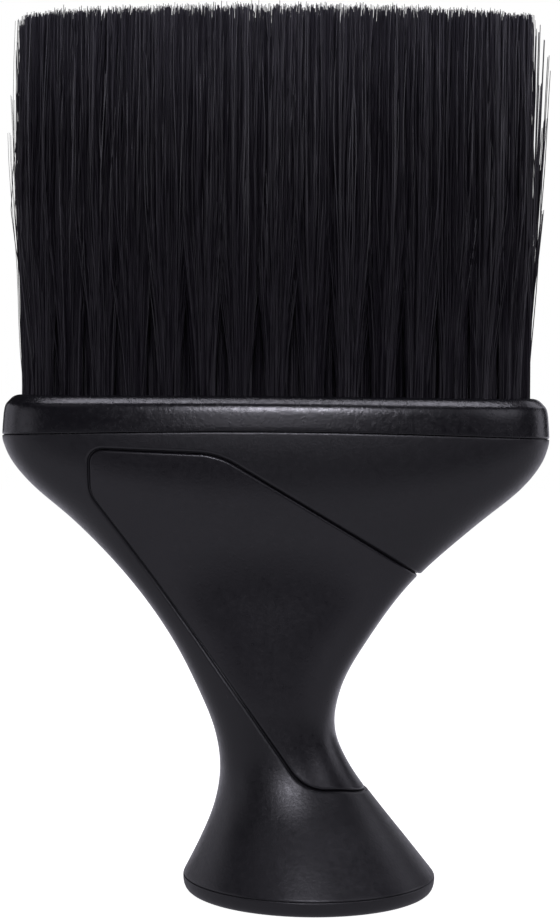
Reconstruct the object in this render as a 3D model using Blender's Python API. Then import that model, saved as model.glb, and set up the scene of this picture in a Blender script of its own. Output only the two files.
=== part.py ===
"""Neck duster brush that stands on its foot.

A broad block of soft bristle tufts is set in a moulded head. The head closes the top of a
hollow, waisted handle, which flares to an offset foot closed by a base cap. A soft skin is
laid in a recess of the handle and wraps round its right side.

Frame: metres, +Z up, the front is -Y, +X runs along the head. The origin lies under the
middle of the head, on the surface that the foot stands on.
"""

import math

import bmesh
import bpy

MM = 0.001

# Clearance kept between pieces that touch
GAP = 0.3 * MM

# Heights where one piece meets the next
FOOT_RIM_Z = 3.0 * MM
SEAM_Z = 86.5 * MM
HEAD_TOP_Z = 93.3 * MM
BRUSH_TOP_Z = 164.5 * MM

# The handle's outline. Each station holds its height, left edge, right edge, half depth
# and the power of its superellipse section: 2 is an ellipse, and more is fuller.
HANDLE_STATIONS = [
    [3.0 * MM, -16.9 * MM, 30.9 * MM, 21.5 * MM, 2.0],
    [9.0 * MM, -13.9 * MM, 26.1 * MM, 17.6 * MM, 2.0],
    [16.0 * MM, -11.1 * MM, 20.4 * MM, 12.6 * MM, 2.05],
    [23.0 * MM, -10.05 * MM, 15.1 * MM, 9.6 * MM, 2.1],
    [30.0 * MM, -11.1 * MM, 11.95 * MM, 8.8 * MM, 2.15],
    [38.0 * MM, -14.4 * MM, 12.9 * MM, 8.9 * MM, 2.2],
    [48.0 * MM, -19.75 * MM, 18.4 * MM, 9.0 * MM, 2.25],
    [60.0 * MM, -28.75 * MM, 27.7 * MM, 9.3 * MM, 2.35],
    [66.0 * MM, -34.38 * MM, 34.28 * MM, 10.5 * MM, 2.44],
    [70.0 * MM, -38.55 * MM, 39.0 * MM, 11.9 * MM, 2.5],
    [77.0 * MM, -46.8 * MM, 47.4 * MM, 14.05 * MM, 2.6],
    [82.0 * MM, -50.75 * MM, 51.0 * MM, 14.85 * MM, 2.65],
    [SEAM_Z, -52.0 * MM, 52.0 * MM, 15.0 * MM, 2.7],
]
HANDLE_LEVELS = 15
CAVITY_LEVELS = 7
SIDES = 40

# Walls, measured level from the outside
WALL = 2.0 * MM
CAP_WALL = 2.0 * MM

# Hollow of the handle between its two joints
CAVITY_BOTTOM_Z = 10.0 * MM
CAVITY_TOP_Z = 80.0 * MM

# Snap ridges of the head and the base cap: lower edge, upper edge and height of the ridge
HEAD_SNAP_Z = [84.2 * MM, 85.4 * MM]
FOOT_SNAP_Z = [6.4 * MM, 7.6 * MM]
SNAP_HEIGHT = 0.5 * MM

# Soft skin and its recess in the handle
GRIP_THICKNESS = 0.9 * MM
GRIP_BOTTOM_Z = 12.0 * MM
GRIP_TOP_Z = 85.2 * MM
GRIP_LEVELS = 13

# Corners of the skin's outline, seen from the front: across, up, radius of the bend.
# The two corners furthest right lie beyond the handle, so that the skin wraps its side.
GRIP_CORNERS = [
    [-34.35 * MM, 83.2 * MM, 2.6 * MM],
    [-34.35 * MM, 74.8 * MM, 5.0 * MM],
    [5.6 * MM, 20.8 * MM, 9.0 * MM],
    [13.0 * MM, 20.3 * MM, 12.0 * MM],
    [62.0 * MM, 10.5 * MM, 0.0],
    [62.0 * MM, 39.2 * MM, 0.0],
    [-10.5 * MM, 82.4 * MM, 14.0 * MM],
]
BEND_STEPS = 5
OUTLINE_REACH = 32.0 * MM

# Head: how far its side is drawn in at each height, above the seam
HEAD_PROFILE = [
    [SEAM_Z + GAP / 2, 0.0],
    [88.6 * MM, 0.15 * MM],
    [90.6 * MM, 0.35 * MM],
    [91.9 * MM, 0.75 * MM],
    [HEAD_TOP_Z, 2.3 * MM],
]
PLUG_BOTTOM_Z = 83.2 * MM
PLUG_CHAMFER = 0.5 * MM
BORE_OVERSHOOT = 2.0 * MM

# Tufts: each row's number of tufts, half its length, and how far to the back it lies at
# its middle and at its ends. The outer rows are bowed, and every row is crowded at its ends.
ROWS = {
    "front": [15, 43.9 * MM, -7.6 * MM, -4.6 * MM],
    "middle": [16, 46.4 * MM, 0.0, 0.0],
    "back": [15, 43.9 * MM, 7.6 * MM, 4.6 * MM],
}
CROWDING = 0.07
SPREAD_ACROSS = 1.025
SPREAD_DEEP = 1.1
TUFT_ROOT_RADIUS = 1.95 * MM
TUFT_SIDES = 8
TUFT_FOLD_Z = 83.8 * MM
TUFT_LEVELS = [0.0, 0.15, 0.36, 1.0]
CROWN_DROP = 2.2 * MM
HOLE_RADIUS = TUFT_ROOT_RADIUS + GAP

# Wire drawn through the folds of each row, in a groove of the head
WIRE_RADIUS = 0.45 * MM
WIRE_Z = 85.0 * MM
WIRE_OVERHANG = 0.2 * MM
GROOVE_HALF_WIDTH = 0.85 * MM
GROOVE_TOP_Z = 86.0 * MM

# Base cap: its outer profile as height and inset, then its ring inside the handle
CAP_PROFILE = [
    [0.0, 1.7 * MM],
    [0.35 * MM, 0.8 * MM],
    [1.1 * MM, 0.2 * MM],
    [FOOT_RIM_Z - GAP / 2, 0.0],
]
CAP_FLOOR_Z = 2.2 * MM
CAP_RING_TOP_Z = 9.0 * MM


def material(name, colour, roughness, metallic=0.0):
    """A Principled material of one colour."""
    made = bpy.data.materials.new(name)
    made.use_nodes = True
    shader = made.node_tree.nodes["Principled BSDF"]
    shader.inputs["Base Color"].default_value = (*colour, 1.0)
    shader.inputs["Roughness"].default_value = roughness
    shader.inputs["Metallic"].default_value = metallic
    made.diffuse_color = (*colour, 1.0)
    return made


def handle_plastic():
    """Satin black plastic of the handle."""
    return material("handle_plastic", (0.020, 0.019, 0.022), 0.42)


def grip_rubber():
    """Soft black skin of the grip."""
    return material("grip_rubber", (0.015, 0.014, 0.016), 0.55)


def head_plastic():
    """Slightly shinier black plastic of the head."""
    return material("head_plastic", (0.022, 0.021, 0.024), 0.36)


def cap_plastic():
    """Black plastic of the base cap."""
    return material("cap_plastic", (0.018, 0.018, 0.020), 0.45)


def bristle_nylon():
    """Black nylon filament."""
    return material("bristle_nylon", (0.009, 0.008, 0.010), 0.5)


def wire_steel():
    """Bright drawn steel wire."""
    return material("wire_steel", (0.55, 0.55, 0.57), 0.35, 1.0)


def smooth_value(stations, column, z):
    """One column of the stations at a height, on a smooth curve through them."""
    heights = [station[0] for station in stations]
    z = min(max(z, heights[0]), heights[-1])
    low = max(i for i in range(len(stations) - 1) if heights[i] <= z)

    def secant(i):
        rise = heights[i + 1] - heights[i]
        return (stations[i + 1][column] - stations[i][column]) / rise

    def slope(i):
        if i == 0:
            return secant(0)
        if i == len(stations) - 1:
            return 0.0
        below = heights[i] - heights[i - 1]
        above = heights[i + 1] - heights[i]
        return (secant(i - 1) * above + secant(i) * below) / (below + above)

    rise = heights[low + 1] - heights[low]
    t = (z - heights[low]) / rise
    start, end = stations[low][column], stations[low + 1][column]
    bend_start = (t**3 - 2 * t**2 + t) * rise * slope(low)
    bend_end = (t**3 - t**2) * rise * slope(low + 1)
    return start + (end - start) * (3 * t**2 - 2 * t**3) + bend_start + bend_end


def signed_power(value, power):
    """The value's size to a power, with the value's sign."""
    return math.copysign(abs(value) ** power, value)


def superellipse(half_x, half_y, power, sides):
    """Points round a superellipse, anticlockwise from above."""
    points = []
    for i in range(sides):
        angle = 2 * math.pi * i / sides
        x = half_x * signed_power(math.cos(angle), 2 / power)
        y = half_y * signed_power(math.sin(angle), 2 / power)
        points.append((x, y))
    return points


def body_ring(z, inset=0.0):
    """The handle's section at a height, drawn in by an inset."""
    left = smooth_value(HANDLE_STATIONS, 1, z)
    right = smooth_value(HANDLE_STATIONS, 2, z)
    half_y = smooth_value(HANDLE_STATIONS, 3, z)
    power = smooth_value(HANDLE_STATIONS, 4, z)
    middle = (left + right) / 2
    half_x = (right - left) / 2
    section = superellipse(half_x - inset, half_y - inset, power, SIDES)
    return [(middle + x, y, z) for x, y in section]


def spaced(low, high, count):
    """Evenly spaced numbers from low to high."""
    return [low + (high - low) * i / (count - 1) for i in range(count)]


def mesh_object(name, bm, skin, place=(0.0, 0.0, 0.0)):
    """An object made from a bmesh, with its material and its place."""
    mesh = bpy.data.meshes.new(name)
    bm.to_mesh(mesh)
    bm.free()
    mesh.shade_smooth()
    mesh.set_sharp_from_angle(angle=math.radians(32))
    made = bpy.data.objects.new(name, mesh)
    made.location = place
    if skin is not None:
        mesh.materials.append(skin)
    bpy.context.scene.collection.objects.link(made)
    return made


def add_loft(bm, rings, turned=False):
    """Faces between rings of equal length. A turned loft joins its last ring to its first."""
    loops = [[bm.verts.new(point) for point in ring] for ring in rings]
    pairs = list(zip(loops, loops[1:]))
    if turned:
        pairs.append((loops[-1], loops[0]))
    for lower, upper in pairs:
        for i in range(len(lower)):
            j = (i + 1) % len(lower)
            bm.faces.new((lower[i], lower[j], upper[j], upper[i]))
    if not turned:
        bm.faces.new(list(reversed(loops[0])))
        bm.faces.new(loops[-1])


def loft(name, rings, skin=None, turned=False, place=(0.0, 0.0, 0.0)):
    """An object lofted through rings, listed from its outer bottom upwards."""
    bm = bmesh.new()
    add_loft(bm, rings, turned)
    return mesh_object(name, bm, skin, place)


def combine(target, operation, tool):
    """A Boolean modifier on the target."""
    step = target.modifiers.new(tool.name, "BOOLEAN")
    step.operation = operation
    step.solver = "EXACT"
    step.object = tool


def as_cutter(tool):
    """Marks an object as a tool and not a piece of the brush."""
    tool.hide_render = True
    tool.display_type = "WIRE"
    return tool


def handle_body():
    """Hollow handle, open at the seam and at the foot, with an inner snap groove at each end."""
    outer_top = SEAM_Z - GAP / 2
    outer_bottom = FOOT_RIM_Z + GAP / 2
    outer = [body_ring(z) for z in spaced(outer_bottom, outer_top, HANDLE_LEVELS)]
    head_snap = snap_rings(HEAD_SNAP_Z[1], WALL, -1)
    cavity_heights = spaced(CAVITY_TOP_Z, CAVITY_BOTTOM_Z, CAVITY_LEVELS)
    cavity = [body_ring(z, WALL) for z in cavity_heights]
    foot_snap = snap_rings(FOOT_SNAP_Z[1], WALL, -1)
    rings = outer + [body_ring(outer_top, WALL)] + head_snap + cavity + foot_snap
    rings.append(body_ring(outer_bottom, WALL))
    return loft("handle_body", rings, handle_plastic(), turned=True)


def snap_rings(z, inset, direction):
    """Four rings of a shallow ridge or groove round a joint, both standing outwards.

    They start at a height and run upwards for a direction of 1, downwards for -1.
    """
    crest = inset - SNAP_HEIGHT
    rise = HEAD_SNAP_Z[1] - HEAD_SNAP_Z[0]
    profile = [(0.0, inset), (rise / 3, crest), (rise * 2 / 3, crest), (rise, inset)]
    return [body_ring(z + direction * step, depth) for step, depth in profile]


def rounded_corner(before, corner, after, radius):
    """Points of an arc that rounds a corner of an outline."""
    if radius == 0.0:
        return [(corner[0], corner[1])]

    def unit_towards(point):
        dx, dz = point[0] - corner[0], point[1] - corner[1]
        length = math.hypot(dx, dz)
        return dx / length, dz / length

    u, v = unit_towards(before), unit_towards(after)
    half_angle = math.acos(u[0] * v[0] + u[1] * v[1]) / 2
    reach = radius / math.tan(half_angle)
    bisector = (u[0] + v[0], u[1] + v[1])
    centre_away = radius / math.sin(half_angle) / math.hypot(*bisector)
    centre = (corner[0] + bisector[0] * centre_away, corner[1] + bisector[1] * centre_away)
    start = (corner[0] + u[0] * reach - centre[0], corner[1] + u[1] * reach - centre[1])
    end = (corner[0] + v[0] * reach - centre[0], corner[1] + v[1] * reach - centre[1])
    across = start[0] * end[1] - start[1] * end[0]
    turn = math.atan2(across, start[0] * end[0] + start[1] * end[1])
    points = []
    for i in range(BEND_STEPS + 1):
        angle = turn * i / BEND_STEPS
        x = start[0] * math.cos(angle) - start[1] * math.sin(angle)
        z = start[0] * math.sin(angle) + start[1] * math.cos(angle)
        points.append((centre[0] + x, centre[1] + z))
    return points


def grip_outline(margin=0.0):
    """The skin's outline seen from the front, grown by a margin."""
    count = len(GRIP_CORNERS)
    grown = []
    for i in range(count):
        before, corner = GRIP_CORNERS[i - 1], GRIP_CORNERS[i]
        after = GRIP_CORNERS[(i + 1) % count]
        along_in = (corner[0] - before[0], corner[1] - before[1])
        along_out = (after[0] - corner[0], after[1] - corner[1])
        length_in, length_out = math.hypot(*along_in), math.hypot(*along_out)
        out_in = (along_in[1] / length_in, -along_in[0] / length_in)
        out_out = (along_out[1] / length_out, -along_out[0] / length_out)
        share = margin / (1 + out_in[0] * out_out[0] + out_in[1] * out_out[1])
        x = corner[0] + (out_in[0] + out_out[0]) * share
        z = corner[1] + (out_in[1] + out_out[1]) * share
        radius = corner[2] + margin if corner[2] else 0.0
        grown.append((x, z, radius))
    points = []
    for i in range(count):
        corner = grown[i]
        points += rounded_corner(grown[i - 1], corner, grown[(i + 1) % count], corner[2])
    return points


def outline_block(name, margin=0.0):
    """A block with the skin's outline that runs through the handle from front to back."""
    outline = grip_outline(margin)
    bm = bmesh.new()
    add_loft(bm, [[(x, y, z) for x, z in outline] for y in (OUTLINE_REACH, -OUTLINE_REACH)])
    return as_cutter(mesh_object(name, bm, None))


def skin_layer(name, outer_inset, inner_inset, skin=None):
    """A layer of even thickness that follows the handle's surface all round."""
    heights = spaced(GRIP_BOTTOM_Z, GRIP_TOP_Z, GRIP_LEVELS)
    outer = [body_ring(z, outer_inset) for z in heights]
    inner = [body_ring(z, inner_inset) for z in reversed(heights)]
    return loft(name, outer + inner, skin, turned=True)


def grip_inlay():
    """Soft skin: the part of an even layer that lies inside the grip's outline."""
    made = skin_layer("grip_inlay", 0.0, GRIP_THICKNESS, grip_rubber())
    combine(made, "INTERSECT", outline_block("grip_block"))
    return made


def grip_recess():
    """Tool that sinks the skin's place into the handle."""
    tool = as_cutter(skin_layer("grip_recess", -WALL, GRIP_THICKNESS + GAP))
    combine(tool, "INTERSECT", outline_block("recess_block", GAP))
    return tool


def row_point(row, u):
    """A point of a row's line, from its left end at -1 to its right end at 1."""
    _, half_x, y_middle, y_end = ROWS[row]
    x = half_x * u * (1 + CROWDING * (1 - u * u))
    return x, y_middle + (y_end - y_middle) * u * u


def tuft_places(row):
    """Centres of the row's tufts in the head, from left to right."""
    count = ROWS[row][0]
    return [row_point(row, u) for u in spaced(-1.0, 1.0, count)]


def bristle_head():
    """Moulded head: a collar over the seam and a plug inside the handle, bored for the tufts."""
    fit = WALL + GAP
    plug = [body_ring(PLUG_BOTTOM_Z, fit + PLUG_CHAMFER)]
    plug.append(body_ring(PLUG_BOTTOM_Z + PLUG_CHAMFER, fit))
    ridge = snap_rings(HEAD_SNAP_Z[0], fit, 1)
    shoulder = [body_ring(HEAD_PROFILE[0][0], fit)]
    collar = []
    for z, inset in HEAD_PROFILE:
        collar.append([(x, y, z) for x, y, _ in body_ring(SEAM_Z, inset)])
    made = loft("bristle_head", plug + ridge + shoulder + collar, head_plastic())
    combine(made, "DIFFERENCE", tuft_bores())
    combine(made, "DIFFERENCE", wire_grooves())
    return made


def tuft_bores():
    """Tool with one bore for each tuft, through the whole head."""
    bm = bmesh.new()
    section = superellipse(HOLE_RADIUS, HOLE_RADIUS, 2, TUFT_SIDES)
    ends = (PLUG_BOTTOM_Z - BORE_OVERSHOOT, HEAD_TOP_Z + BORE_OVERSHOOT)
    for row in ROWS:
        for x, y in tuft_places(row):
            add_loft(bm, [[(x + dx, y + dy, z) for dx, dy in section] for z in ends])
    return as_cutter(mesh_object("tuft_bores", bm, None))


def wire_line(row):
    """The wire's bends: one in each tuft of its row, and an end just past the last ones."""
    places = tuft_places(row)
    reach = TUFT_ROOT_RADIUS + WIRE_OVERHANG
    slope = (places[-1][1] - places[-2][1]) / (places[-1][0] - places[-2][0])
    right_end = (places[-1][0] + reach, places[-1][1] + slope * reach)
    return [(-right_end[0], right_end[1])] + places + [right_end]


def wire_grooves():
    """Tool with one groove for each row's wire, across the underside of the plug."""
    bm = bmesh.new()
    for row in ROWS:
        line = wire_line(row)
        line[0] = (line[0][0] - GAP, line[0][1])
        line[-1] = (line[-1][0] + GAP, line[-1][1])
        section = [(x, y - GROOVE_HALF_WIDTH) for x, y in line]
        section += [(x, y + GROOVE_HALF_WIDTH) for x, y in reversed(line)]
        ends = (PLUG_BOTTOM_Z - BORE_OVERSHOOT, GROOVE_TOP_Z)
        add_loft(bm, [[(x, y, z) for x, y in section] for z in ends])
    return as_cutter(mesh_object("wire_grooves", bm, None))


def rod(name, radius, row, skin=None):
    """A thin round rod along a row's wire line."""
    section = superellipse(radius, radius, 2, 8)
    rings = [[(x, y + dy, dz) for dy, dz in section] for x, y in wire_line(row)]
    return loft(name, rings, skin, place=(0.0, 0.0, WIRE_Z))


def crowded_half(places, i):
    """Half the room across that a tuft has beside its nearest neighbour in the row."""
    steps = [abs(places[k][0] - places[i][0]) for k in (i - 1, i + 1) if 0 <= k < len(places)]
    return (min(steps) * SPREAD_ACROSS - GAP) / 2


def tuft(row, i, skin, wire_way):
    """One tuft, folded over the row's wire: round in its bore and square where tufts crowd."""
    places = tuft_places(row)
    x_root, y_root = places[i]
    u = 2 * i / (len(places) - 1) - 1
    row_gap = abs(row_point("front", u)[1]) * SPREAD_DEEP
    top_half = (crowded_half(places, i), (row_gap - GAP) / 2)
    drop = CROWN_DROP * abs(x_root / ROWS["middle"][1]) ** 8
    height = BRUSH_TOP_Z - drop - TUFT_FOLD_Z
    rings = []
    for level in TUFT_LEVELS:
        blend = smooth_value([[0.0, 0.0], [0.12, 0.0], [0.4, 1.0], [1.0, 1.0]], 1, level)
        half_x = TUFT_ROOT_RADIUS + (top_half[0] - TUFT_ROOT_RADIUS) * blend
        half_y = TUFT_ROOT_RADIUS + (top_half[1] - TUFT_ROOT_RADIUS) * blend
        lean_x = x_root * (SPREAD_ACROSS - 1) * blend
        lean_y = y_root * (SPREAD_DEEP - 1) * blend
        section = superellipse(half_x, half_y, 2 + 2 * blend, TUFT_SIDES)
        rings.append([(lean_x + x, lean_y + y, height * level) for x, y in section])
    made = loft(f"tuft_{row}_{i + 1:02d}", rings, skin, place=(x_root, y_root, TUFT_FOLD_Z))
    combine(made, "DIFFERENCE", wire_way)
    return made


def bristle_rows():
    """Every tuft, and the wire that holds each row."""
    nylon, steel = bristle_nylon(), wire_steel()
    pieces = []
    for row in ROWS:
        wire_way = as_cutter(rod(f"wire_way_{row}", WIRE_RADIUS + GAP, row))
        pieces.append(rod(f"wire_{row}", WIRE_RADIUS, row, steel))
        for i in range(ROWS[row][0]):
            pieces.append(tuft(row, i, nylon, wire_way))
    return pieces


def base_cap():
    """Cap that closes the foot: a floor with a rounded rim, and a ring that snaps into the handle."""
    fit = WALL + GAP
    rim = []
    for z, inset in CAP_PROFILE:
        rim.append([(x, y, z) for x, y, _ in body_ring(FOOT_RIM_Z, inset)])
    ring = [body_ring(FOOT_RIM_Z - GAP / 2, fit)]
    ring += snap_rings(FOOT_SNAP_Z[0], fit, 1)
    ring.append(body_ring(CAP_RING_TOP_Z, fit))
    inside = [body_ring(CAP_RING_TOP_Z, fit + CAP_WALL)]
    inside.append([(x, y, CAP_FLOOR_Z) for x, y, _ in body_ring(CAP_RING_TOP_Z, fit + CAP_WALL)])
    return loft("base_cap", rim + ring + inside, cap_plastic())


def build():
    """The whole brush, parented to one empty."""
    for old in list(bpy.data.objects):
        bpy.data.objects.remove(old)
    handle = handle_body()
    combine(handle, "DIFFERENCE", grip_recess())
    pieces = [handle, grip_inlay(), bristle_head(), base_cap()]
    pieces += bristle_rows()
    brush = bpy.data.objects.new("neck_duster", None)
    bpy.context.scene.collection.objects.link(brush)
    for piece in pieces:
        piece.parent = brush


build()
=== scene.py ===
"""Looks of a neck duster brush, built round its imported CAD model.

The handle, its soft skin, the head and the base cap are rebuilt as fine surfaces with real
grooves and rounded edges. Each CAD tuft is replaced by its own bundle of single bristles.
"""

import math

import bmesh
import bpy
import numpy as np
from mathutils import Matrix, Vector
from mathutils.geometry import delaunay_2d_cdt
from mathutils.kdtree import KDTree


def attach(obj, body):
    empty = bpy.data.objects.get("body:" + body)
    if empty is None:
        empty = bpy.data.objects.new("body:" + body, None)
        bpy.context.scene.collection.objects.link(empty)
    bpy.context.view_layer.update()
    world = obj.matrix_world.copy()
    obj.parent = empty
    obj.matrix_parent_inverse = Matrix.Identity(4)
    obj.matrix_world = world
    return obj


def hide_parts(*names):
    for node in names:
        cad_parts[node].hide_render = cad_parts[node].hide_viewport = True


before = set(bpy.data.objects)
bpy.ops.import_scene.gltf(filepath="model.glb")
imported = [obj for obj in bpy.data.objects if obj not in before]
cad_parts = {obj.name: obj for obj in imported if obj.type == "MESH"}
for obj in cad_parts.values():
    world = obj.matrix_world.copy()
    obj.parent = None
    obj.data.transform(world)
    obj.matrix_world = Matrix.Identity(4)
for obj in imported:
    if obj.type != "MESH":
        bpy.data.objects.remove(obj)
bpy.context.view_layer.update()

MM = 0.001

# Gap between neighbouring pieces, and how near two points have to be to be one
GAP = 0.3 * MM
SAME_PLACE = 1e-7

# Heights of the joints between the pieces
FOOT_RIM_Z = 3.0 * MM
SEAM_Z = 86.5 * MM
HEAD_TOP_Z = 93.3 * MM
BRUSH_TOP_Z = 164.5 * MM

# The handle in millimetres: height, left edge, right edge, half depth, power of the superellipse
STATIONS = np.array([
    [3.0, -16.9, 30.9, 21.5, 2.0],
    [9.0, -13.9, 26.1, 17.6, 2.0],
    [16.0, -11.1, 20.4, 12.6, 2.05],
    [23.0, -10.05, 15.1, 9.6, 2.1],
    [30.0, -11.1, 11.95, 8.8, 2.15],
    [38.0, -14.4, 12.9, 8.9, 2.2],
    [48.0, -19.75, 18.4, 9.0, 2.25],
    [60.0, -28.75, 27.7, 9.3, 2.35],
    [66.0, -34.38, 34.28, 10.5, 2.44],
    [70.0, -38.55, 39.0, 11.9, 2.5],
    [77.0, -46.8, 47.4, 14.05, 2.6],
    [82.0, -50.75, 51.0, 14.85, 2.65],
    [86.5, -52.0, 52.0, 15.0, 2.7],
])

# The table worked out from the stations: its step and blur in millimetres
TABLE_STEP = 0.1
PROFILE_BLUR = 1.2

# The handle's grid of cells, and the angle in degrees above which an edge is sharp
COLUMNS = 288
HANDLE_ROWS = 140
SMOOTH_ANGLE = 50

# The hollow in millimetres: wall, inset of both plugs, extent, and heights of the snap grooves
WALL = 2.0
PLUG_INSET = 2.3
HOLLOW_TOP = 80
HOLLOW_BOTTOM = 10
HOLLOW_STEPS = 24
HEAD_SNAP = 84.8
BASE_SNAP = 7.0

# Shape of a snap groove or ridge in millimetres: height from its middle, depth
SNAP_SHAPE = [(0.6, 0.0), (0.2, 0.5), (-0.2, 0.5), (-0.6, 0.0)]

# The shell's lip at either end in millimetres: height beyond the end face, inset
LIP = [(0.02, 0.02), (0.08, 0.07), (0.1, 0.16), (0.1, 0.4), (0.0, 0.5), (0.0, 1.85), (-0.15, WALL)]
LIP_ROOM = 0.3 * MM

# The skin's outline from the front in millimetres: across, up, radius of the bend
GRIP_CORNERS = [
    (62.0, 39.2, 0.0),
    (-10.5, 82.4, 14.0),
    (-34.35, 83.2, 2.6),
    (-34.35, 74.8, 5.0),
    (5.6, 20.8, 9.0),
    (13.0, 20.3, 12.0),
    (62.0, 10.5, 0.0),
]

# Depth of the skin and of its recess, points of a bend, and the steps along their outline
GRIP_DEPTH = 0.9 * MM
RECESS_DEPTH = 1.2 * MM
BEND_POINTS = 33
OUTLINE_STEP = 0.02 * MM
CURVE_STEP = 0.42 * MM

# Strip of triangles on either side of the groove, its room to the kept cells, and the flat
# map's millimetres to a radian
BAND = 0.9 * MM
BAND_ROOM = 0.45 * MM
MAP_RADIUS = 24.0

# Edges along the groove in millimetres: distance from its middle line, depth
SHELL_EDGE = [
    (0.76, 0.0), (0.6, 0.018), (0.46, 0.065), (0.35, 0.145), (0.255, 0.25), (0.185, 0.36), (0.145, 0.46),
    (0.13, 0.54), (-0.02, 0.6), (-0.1, 0.74),
]
GRIP_EDGE = [
    (0.67, 0.14), (0.54, 0.151), (0.41, 0.185), (0.305, 0.25), (0.225, 0.34), (0.165, 0.44), (0.138, 0.52),
    (0.13, 0.58),
]
GRIP_SUNK = 0.14 * MM

# Lower corners of the recess and of the skin in millimetres from the groove's middle line
RECESS_CORNER = 0.12
SKIN_CORNER = 0.2

# Arch of the seam and of the head's top edge in millimetres: distance from the middle, rise
SEAM_ARCH = ([0, 12, 24, 34, 42, 48, 52], [0.02, -0.04, -0.24, -0.45, -0.62, -0.7, -0.66])
CREST_ARCH = ([0, 12, 20, 34, 42, 48, 52], [-0.06, -0.08, -0.14, -0.18, -0.12, 0.12, 0.3])
ARCH_FADE = 3.0 * MM


def smooth_columns():
    """The stations as a fine table of height against the four measures, slightly blurred."""
    heights, values = STATIONS[:, 0], STATIONS[:, 1:]
    steps = np.diff(heights)[:, None]
    secants = np.diff(values, axis=0) / steps
    slopes = np.zeros_like(values)
    slopes[0] = secants[0]
    slopes[1:-1] = (secants[:-1] * steps[1:] + secants[1:] * steps[:-1]) / (steps[:-1] + steps[1:])
    fine = np.arange(heights[0], heights[-1] + 1e-6, TABLE_STEP)
    low = np.clip(np.searchsorted(heights, fine, side="right") - 1, 0, len(steps) - 1)
    rise = steps[low]
    t = ((fine - heights[low]) / rise[:, 0])[:, None]
    table = values[low] + (values[low + 1] - values[low]) * (3 * t**2 - 2 * t**3)
    table += (t**3 - 2 * t**2 + t) * rise * slopes[low] + (t**3 - t**2) * rise * slopes[low + 1]
    reach = int(round(4 * PROFILE_BLUR / TABLE_STEP))
    below = table[0] - (table[1:reach + 1][::-1] - table[0])
    padded = np.vstack([below, table, table[-reach - 1:-1][::-1]])
    kernel = np.exp(-0.5 * (np.arange(-reach, reach + 1) * TABLE_STEP / PROFILE_BLUR) ** 2)
    kernel /= kernel.sum()
    blurred = [np.convolve(padded[:, k], kernel, "valid") for k in range(4)]
    return fine * MM, np.array(blurred)


TABLE_Z, TABLE = smooth_columns()


def measures(z):
    """Middle, half width, half depth and power of the handle's section at heights z."""
    left, right, half_y, power = (np.interp(z, TABLE_Z, column) for column in TABLE)
    return (left + right) / 2 * MM, (right - left) / 2 * MM, half_y * MM, power


def surface(theta, z, inset=0.0):
    """Points of the handle's surface: theta is -pi/2 at the front and 0 at the right."""
    middle, half_x, half_y, power = measures(z)
    c, s = np.cos(theta), np.sin(theta)
    norm = (np.abs(c) ** power + np.abs(s) ** power) ** (1 / power)
    x = middle + (half_x - inset) * c / norm
    y = (half_y - inset) * s / norm
    return np.stack([x, y, z + 0 * x], axis=-1)


def tangents(theta, z):
    """The surface's two tangents and its outward normal."""
    d_theta, d_z = 1e-4, 0.05 * MM
    along = (surface(theta + d_theta, z) - surface(theta - d_theta, z)) / (2 * d_theta)
    up = (surface(theta, z + d_z) - surface(theta, z - d_z)) / (2 * d_z)
    up[..., 2] = 1.0
    normal = np.cross(along, up)
    normal /= np.linalg.norm(normal, axis=-1, keepdims=True)
    return along, up, normal


def sunk(theta, z, depth):
    """Points below the surface, measured square to it."""
    _, _, normal = tangents(theta, z)
    return surface(theta, z) - normal * np.reshape(depth, np.shape(theta) + (1,))


def smooth_step(share):
    """A share from 0 to 1 that starts and ends gently."""
    return share * share * (3 - 2 * share)


def arched(points):
    """Bows the handle's top edge down towards its ends, fading out below the seam."""
    across = np.abs(points[:, 0]) / MM
    weight = smooth_step(np.clip((points[:, 2] - (SEAM_Z - ARCH_FADE)) / ARCH_FADE, 0, 1))
    moved = points.copy()
    moved[:, 2] += np.interp(across, *SEAM_ARCH) * MM * weight
    return moved


def rounded_outline():
    """The skin's outline as a dense open line in front view, from the upper right round."""
    corners = [np.array(corner[:2]) * MM for corner in GRIP_CORNERS]
    line = [corners[0]]
    for before, corner, after, spec in zip(corners, corners[1:], corners[2:], GRIP_CORNERS[1:]):
        radius = spec[2] * MM
        u = (before - corner) / np.linalg.norm(before - corner)
        v = (after - corner) / np.linalg.norm(after - corner)
        half_angle = math.acos(float(u @ v)) / 2
        reach = radius / math.tan(half_angle)
        bisector = (u + v) / np.linalg.norm(u + v)
        centre = corner + bisector * radius / math.sin(half_angle)
        start, end = corner + u * reach - centre, corner + v * reach - centre
        turn = math.atan2(start[0] * end[1] - start[1] * end[0], float(start @ end))
        for angle in np.linspace(0, turn, BEND_POINTS):
            x = start[0] * math.cos(angle) - start[1] * math.sin(angle)
            y = start[0] * math.sin(angle) + start[1] * math.cos(angle)
            line.append(centre + (x, y))
    line.append(corners[-1])
    return resampled(np.array(line), OUTLINE_STEP)


def resampled(line, step):
    """The same line with evenly spaced points."""
    lengths = np.concatenate([[0], np.cumsum(np.linalg.norm(np.diff(line, axis=0), axis=1))])
    count = max(int(round(lengths[-1] / step)), 2)
    even = np.linspace(0, lengths[-1], count + 1)
    return np.stack([np.interp(even, lengths, line[:, k]) for k in range(line.shape[1])], axis=1)


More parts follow.
